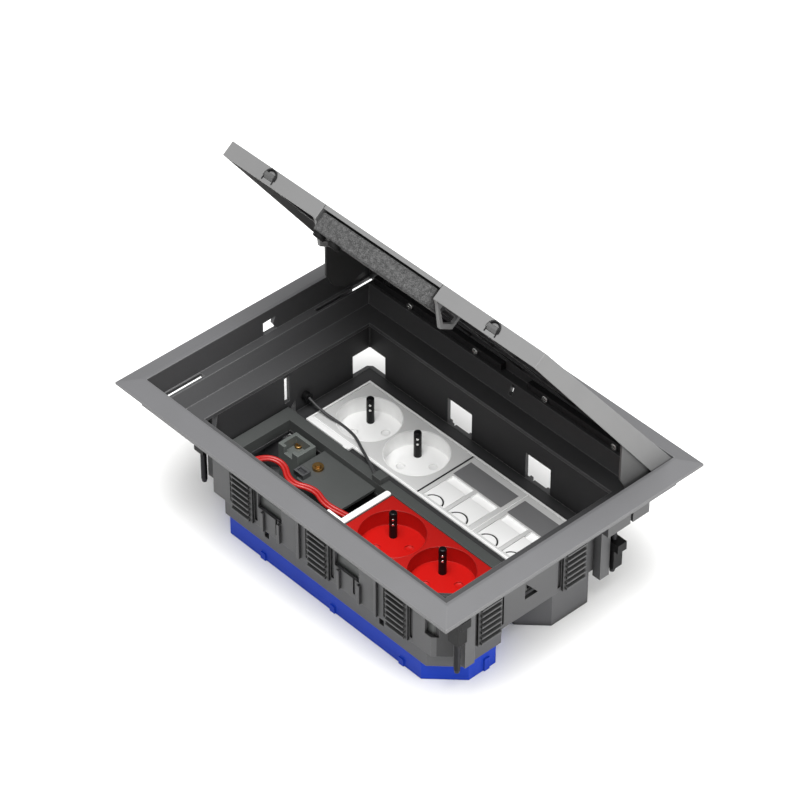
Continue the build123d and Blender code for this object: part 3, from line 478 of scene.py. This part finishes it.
def makeFoam(look):
    centre = (0, look["front"] + look["depth"] / 2, look["top"] - look["height"] / 2)
    piece = box(centre, (look["length"], look["depth"], look["height"]))
    bpy.ops.object.mode_set(mode="EDIT")
    bpy.ops.mesh.select_all(action="SELECT")
    bpy.ops.mesh.bevel(offset=look["edge"], segments=3, affect="EDGES")
    bpy.ops.mesh.select_all(action="SELECT")
    bpy.ops.mesh.subdivide(number_cuts=look["cuts"])
    bpy.ops.mesh.select_all(action="SELECT")
    bpy.ops.transform.vertex_random(offset=look["unevenness"], uniform=0.2, normal=0.0, seed=4)
    bpy.ops.object.mode_set(mode="OBJECT")
    piece.matrix_world = opened()
    settle(piece)
    smooth(piece, 50)
    finishPiece(piece, "flapFoam", "polyurethaneFoam", "flap", ["flap_foam"])


# Black strip between the flap plate and the foam, set back from the foam's front; its black is painted shade, the dark
# line of the gap there
foamShadowStrip = {"height": 0.0013, "recess": 0.003, "edge": 0.0003}


def makeFoamShadowStrip(look):
    depth = foam["depth"] - look["recess"]
    centre = (0, foam["front"] + look["recess"] + depth / 2, foam["top"] + look["height"] / 2)
    piece = box(centre, (foam["length"], depth, look["height"]))
    roundEdges(piece, look["edge"], 2)
    piece.matrix_world = opened()
    settle(piece)
    smooth(piece)
    finishPiece(piece, "flapFoamShadowStrip", "rubberBlack", "flap", ["flap_foam"])


makeFoam(foam)
makeFoamShadowStrip(foamShadowStrip)
print("foam strip made")

# Screws: one cross-recessed head is modelled and copied
screwHead = {"radius": 0.0024, "height": 0.0014, "dome": 0.00063, "recess": (0.003, 0.0005, 0.00126)}
railScrews = {"across": (-0.085, -0.029, 0.029, 0.085), "back": 0.0813, "level": 0.0888}
terminalScrews = {"across": (-0.0765, -0.0685), "back": -0.0145, "level": 0.0420}


def crossHead(look):
    deselectAll()
    bpy.ops.mesh.primitive_cylinder_add(vertices=40, radius=look["radius"], depth=look["height"], location=(0, 0, 0))
    head = bpy.context.object
    bpy.ops.object.mode_set(mode="EDIT")
    pickEdges(head, lambda point: point.z > 0)
    bpy.ops.mesh.bevel(offset=look["dome"], segments=4, affect="EDGES")
    bpy.ops.object.mode_set(mode="OBJECT")
    for turn in (0, 90):
        cutter = box((0, 0, look["height"] / 2), look["recess"], math.radians(turn))
        only(head)
        cut = head.modifiers.new("cut", "BOOLEAN")
        cut.object = cutter
        cut.operation = "DIFFERENCE"
        bpy.ops.object.modifier_apply(modifier="cut")
        bpy.data.objects.remove(cutter)
    smooth(head)
    return head


head = crossHead(screwHead)
facingBack = Matrix.Rotation(math.radians(90), 4, "X")
for number, x in enumerate(railScrews["across"], 1):
    screw = copyOf(head, Matrix.Translation((x, railScrews["back"], railScrews["level"])) @ facingBack)
    finishPiece(screw, f"railScrew{number}", "nickelPlated", "housing", ["rail_screws"])
for number, x in enumerate(terminalScrews["across"], 1):
    screw = copyOf(head, Matrix.Translation((x, terminalScrews["back"], terminalScrews["level"])))
    finishPiece(screw, f"terminalScrew{number}", "turnedBrass", "housing")
bpy.data.objects.remove(head)

# Claw screws: core 3.2 mm, thread 4 mm across with a pitch of 0.9 mm, plain for 2 mm at each end
clawScrew = {"foot": 0.022, "top": 0.0735, "core": 0.0016, "pitch": 0.0009, "ridge": 0.0004, "plain": 0.002,
             "point": 0.0006, "steps": 14,
             "places": [(-0.1076, -0.0607), (-0.1076, 0.0185), (0.1076, -0.0607), (0.1076, 0.0607)]}


def threadedRod(look):
    length = look["top"] - look["foot"]
    deselectAll()
    bpy.ops.mesh.primitive_cylinder_add(vertices=24, radius=look["core"], depth=length,
                                        location=(0, 0, look["foot"] + length / 2))
    core = bpy.context.object
    bpy.ops.object.mode_set(mode="EDIT")
    pickEdges(core, lambda point: point.z < 0)
    bpy.ops.mesh.bevel(offset=look["point"], segments=2, affect="EDGES")
    bpy.ops.object.mode_set(mode="OBJECT")
    settle(core)
    deselectAll()
    bpy.ops.mesh.primitive_circle_add(vertices=3, radius=look["ridge"], rotation=(math.radians(90), 0, 0),
                                      location=(look["core"], 0, look["foot"] + look["plain"]))
    thread = settle(bpy.context.object)
    winding = thread.modifiers.new("winding", "SCREW")
    winding.screw_offset = look["pitch"]
    winding.iterations = int((length - 2 * look["plain"]) / look["pitch"])
    winding.steps = winding.render_steps = look["steps"]
    only(thread)
    bpy.ops.object.modifier_apply(modifier="winding")
    only(core)
    thread.select_set(True)
    bpy.ops.object.join()
    smooth(core)
    return core


rodShape = threadedRod(clawScrew)
for number, (x, y) in enumerate(clawScrew["places"], 1):
    screw = copyOf(rodShape, Matrix.Translation((x, y, 0)))
    finishPiece(screw, f"clawScrew{number}", "phosphatedSteel", "housing", ["claw_screws"])
bpy.data.objects.remove(rodShape)
print("screws made")


def arcTube(centre, look, start, sweep, axis):
    # A round bar bent to an arc or a ring, in plan (axis Z) or on the lid's front face (axis Y)
    ring = sweep >= 2 * math.pi
    deselectAll()
    spot = Vector((look["radius"] * math.cos(start), look["radius"] * math.sin(start), 0))
    if axis == "Y":
        spot = Vector((spot.x, 0, spot.y))
    bpy.ops.mesh.primitive_circle_add(vertices=8, radius=look["thick"], fill_type="NOTHING" if ring else "NGON",
                                      location=Vector(centre) + spot)
    piece = bpy.context.object
    outwards = spot.normalized()
    normal = Vector((0, 0, 1)) if axis == "Z" else Vector((0, -1, 0))
    piece.rotation_euler = normal.cross(outwards).to_track_quat("Z", "Y").to_euler()
    settle(piece)
    bpy.ops.object.mode_set(mode="EDIT")
    bpy.ops.mesh.select_all(action="SELECT")
    # The operator turns clockwise about its axis
    bpy.ops.mesh.spin(steps=72 if ring else 28, angle=-sweep, center=centre, axis=normal)
    bpy.ops.mesh.select_all(action="SELECT")
    bpy.ops.mesh.remove_doubles(threshold=0.01 * mm)
    bpy.ops.mesh.normals_make_consistent(inside=False)
    bpy.ops.object.mode_set(mode="OBJECT")
    smooth(piece, 60)
    return piece


# Soft lip of each well and the dished shutters behind its contact holes
wellLip = {"radius": 0.01985, "thick": 0.00028}
contact = {"reach": 0.006718, "radius": 0.0026, "below": 0.0011, "thick": 0.0010, "rim": 0.00117, "dish": 0.0005}


def holeShutter(look):
    deselectAll()
    bpy.ops.mesh.primitive_cylinder_add(vertices=32, radius=look["radius"], depth=look["thick"])
    piece = bpy.context.object
    bpy.ops.object.mode_set(mode="EDIT")
    pickFaces(piece, lambda face: face.normal.z > 0.9)
    bpy.ops.mesh.inset(thickness=look["rim"], depth=-look["dish"])
    bpy.ops.object.mode_set(mode="OBJECT")
    smooth(piece)
    return piece


# Earth pin: dark turned post with a domed tip, and two bright buttons that face the middle of the well; the buttons
# are painted highlights
pinPost = {"radius": 0.0024, "length": 0.0185, "dome": 0.0011, "groove": 0.0003, "offset": 0.00707}
pinHighlightButton = {"radius": 0.0008, "length": 0.0005, "dome": 0.0003, "groove": 0.00001, "sunk": 0.0001,
             "drops": (0.0040, 0.0078)}
grooveShares = {"low": 0.52, "high": 0.58, "slope": 0.6}


def turnedPost(look):
    # A post with its foot at the origin, a domed tip and a shallow turned groove
    length = look["length"]
    low, high = length * grooveShares["low"], length * grooveShares["high"]
    deselectAll()
    bpy.ops.mesh.primitive_cylinder_add(vertices=40, radius=look["radius"], depth=length, location=(0, 0, length / 2))
    post = settle(bpy.context.object)
    bpy.ops.object.mode_set(mode="EDIT")
    pickEdges(post, lambda point: point.z > high)
    bpy.ops.mesh.bevel(offset=look["dome"], segments=6, affect="EDGES")
    for level in (low, high):
        bpy.ops.mesh.select_all(action="SELECT")
        bpy.ops.mesh.bisect(plane_co=(0, 0, level), plane_no=(0, 0, 1))
    pickFaces(post, lambda face: low < face.calc_center_median().z < high)
    bpy.ops.mesh.inset(thickness=look["groove"] * grooveShares["slope"], depth=-look["groove"], use_even_offset=True)
    bpy.ops.object.mode_set(mode="OBJECT")
    smooth(post, 40)
    return post


def makePins(colour, well):
    facing = Vector((1, -1, 0)).normalized()
    turn = facing.to_track_quat("Z", "Y").to_matrix().to_4x4()
    for number, (x, y) in enumerate(well["centres"], 1):
        place = Vector((x - pinPost["offset"], y + pinPost["offset"], well["floor"]))
        post = copyOf(postShape, Matrix.Translation(place))
        finishPiece(post, f"{colour}Pin{number}", "pinBlackPaintedReflection", "housing", [f"{colour}_pins"])
        # The bright buttons are painted highlights
        for index, drop in enumerate(pinHighlightButton["drops"], 1):
            side = facing * (pinPost["radius"] - pinHighlightButton["sunk"])
            spot = place + side + Vector((0, 0, pinPost["length"] - drop))
            button = copyOf(highlightButtonShape, Matrix.Translation(spot) @ turn)
            finishPiece(button, f"{colour}Pin{number}Button{index}", "nickelPlated", "housing")


postShape = turnedPost(pinPost)
highlightButtonShape = turnedPost(pinHighlightButton)
shutterShape = holeShutter(contact)
lipShape = arcTube((0, 0, 0), wellLip, 0, 2 * math.pi, "Z")
for colour, well in outlet["wells"].items():
    look = "polycarbonate" + colour.capitalize()
    for number, (x, y) in enumerate(well["centres"], 1):
        lip = copyOf(lipShape, Matrix.Translation((x, y, well["face"])))
        finishPiece(lip, f"{colour}WellLip{number}", look, "housing")
        for side, letter in ((-1, "a"), (1, "b")):
            reach = side * contact["reach"]
            cover = copyOf(shutterShape, Matrix.Translation((x + reach, y + reach, well["floor"] - contact["below"])))
            finishPiece(cover, f"{colour}ContactShutter{number}{letter}", look, "housing")
    makePins(colour, well)
for shape in (shutterShape, lipShape, postShape, highlightButtonShape):
    bpy.data.objects.remove(shape)
print("well lips, contact shutters and pins made")

# Dark curved finger edges on the data shutters
shutterArc = {"radius": 0.0064, "thick": 0.00042, "level": 0.04225, "row": 0.0091, "start": 20, "sweep": 140,
              "shutters": {"shutter_a_left": 0.0124, "shutter_a_right": 0.0326,
                           "shutter_b_left": 0.0574, "shutter_b_right": 0.0776}}
for body, x in shutterArc["shutters"].items():
    arc = arcTube((x, shutterArc["row"], shutterArc["level"]), shutterArc, math.radians(shutterArc["start"]),
                  math.radians(shutterArc["sweep"]), "Z")
    finishPiece(arc, body.replace("shutter", "fingerEdge"), "polyamideDark", body)

# Arch with two legs round each lid latch
latchArch = {"radius": 0.0039, "thick": 0.00055, "across": 0.089, "front": -0.0854, "level": 0.0988, "leg": 0.0036}
for side, name in ((-1, "latchArchLeft"), (1, "latchArchRight")):
    crown = (side * latchArch["across"], latchArch["front"], latchArch["level"])
    arch = arcTube(crown, latchArch, 0, math.pi, "Y")
    only(arch)
    bpy.ops.object.mode_set(mode="EDIT")
    pickFaces(arch, lambda face: len(face.verts) > 4)
    bpy.ops.mesh.extrude_region_move(TRANSFORM_OT_translate={"value": (0, 0, -latchArch["leg"])})
    bpy.ops.object.mode_set(mode="OBJECT")
    arch.matrix_world = opened()
    settle(arch)
    finishPiece(arch, name, "polyamideBlack", "lid")
print("finger edges and latch arches made")

# Dark strip between the socket and the first data module; its dark colour is painted shade, the shadowed gap between
# them
seamShade = {"across": -0.0001, "front": 0.0092, "back": 0.0538, "top": 0.04282, "width": 0.0009, "thick": 0.0005,
        "edge": 0.0001}


def makeSeamShade(look):
    centre = (look["across"], (look["front"] + look["back"]) / 2, look["top"] - look["thick"] / 2)
    piece = box(centre, (look["width"], look["back"] - look["front"], look["thick"]))
    roundEdges(piece, look["edge"], 2)
    smooth(piece)
    finishPiece(piece, "moduleSeamShade1", "polyamideDark", "housing")


makeSeamShade(seamShade)
print("module seam made")

# Studio: pale floor, soft lights and the camera of the picture
studio = {
    "floor": {"colour": "#f4f4f3", "size": 8, "level": -0.0003, "roughness": 0.9},
    "roomLight": 0.6,
    "lampAim": (0, 0, 0.08),
    "lamps": [
        {"name": "overhead", "place": (0.30, -0.34, 1.55), "size": 1.1, "power": 51},
        {"name": "right", "place": (1.50, 0.20, 0.60), "size": 0.9, "power": 13},
    ],
}
pictureCamera = {"azimuth": 47.19, "elevation": 41.10, "roll": 0.18, "distance": 2.1722, "focal": 173.28,
                 "sensor": 36, "shift": (-0.0075, 0.0307), "farthest": 20}


def makeFloor(look):
    deselectAll()
    bpy.ops.mesh.primitive_plane_add(size=look["size"], location=(0, 0, look["level"]))
    floor = bpy.context.object
    floor.name = "studioFloor"
    material, tree, shader, place = newMaterial("paintedBoard")
    shader.inputs["Base Color"].default_value = hexColour(look["colour"])
    shader.inputs["Roughness"].default_value = look["roughness"]
    floor.data.materials.append(material)


def makeLights(look):
    world = bpy.data.worlds.new("softWhiteRoom")
    world.use_nodes = True
    background = world.node_tree.nodes["Background"].inputs
    background["Color"].default_value = (1, 1, 1, 1)
    background["Strength"].default_value = look["roomLight"]
    bpy.context.scene.world = world
    for lamp in look["lamps"]:
        data = bpy.data.lights.new(lamp["name"], "AREA")
        data.size = lamp["size"]
        data.energy = lamp["power"]
        light = bpy.data.objects.new(lamp["name"], data)
        aim = (Vector(look["lampAim"]) - Vector(lamp["place"])).to_track_quat("-Z", "Y")
        light.matrix_world = Matrix.Translation(lamp["place"]) @ aim.to_matrix().to_4x4()
        bpy.context.scene.collection.objects.link(light)


def makeCamera(look):
    data = bpy.data.cameras.new("pictureCamera")
    data.sensor_width = look["sensor"]
    data.lens = look["focal"]
    data.shift_x, data.shift_y = look["shift"]
    data.clip_end = look["farthest"]
    camera = bpy.data.objects.new("pictureCamera", data)
    turn = (
        Matrix.Rotation(math.radians(look["azimuth"]), 4, "Z")
        @ Matrix.Rotation(math.radians(90 - look["elevation"]), 4, "X")
        @ Matrix.Rotation(math.radians(look["roll"]), 4, "Z")
    )
    target = Vector((0, 0, outlet["floorLevel"]))
    back = turn.to_3x3() @ Vector((0, 0, look["distance"]))
    camera.matrix_world = Matrix.Translation(target + back) @ turn
    bpy.context.scene.collection.objects.link(camera)
    bpy.context.scene.camera = camera


makeFloor(studio["floor"])
makeLights(studio)
makeCamera(pictureCamera)
bpy.context.scene.view_settings.view_transform = "Standard"
print("studio ready")
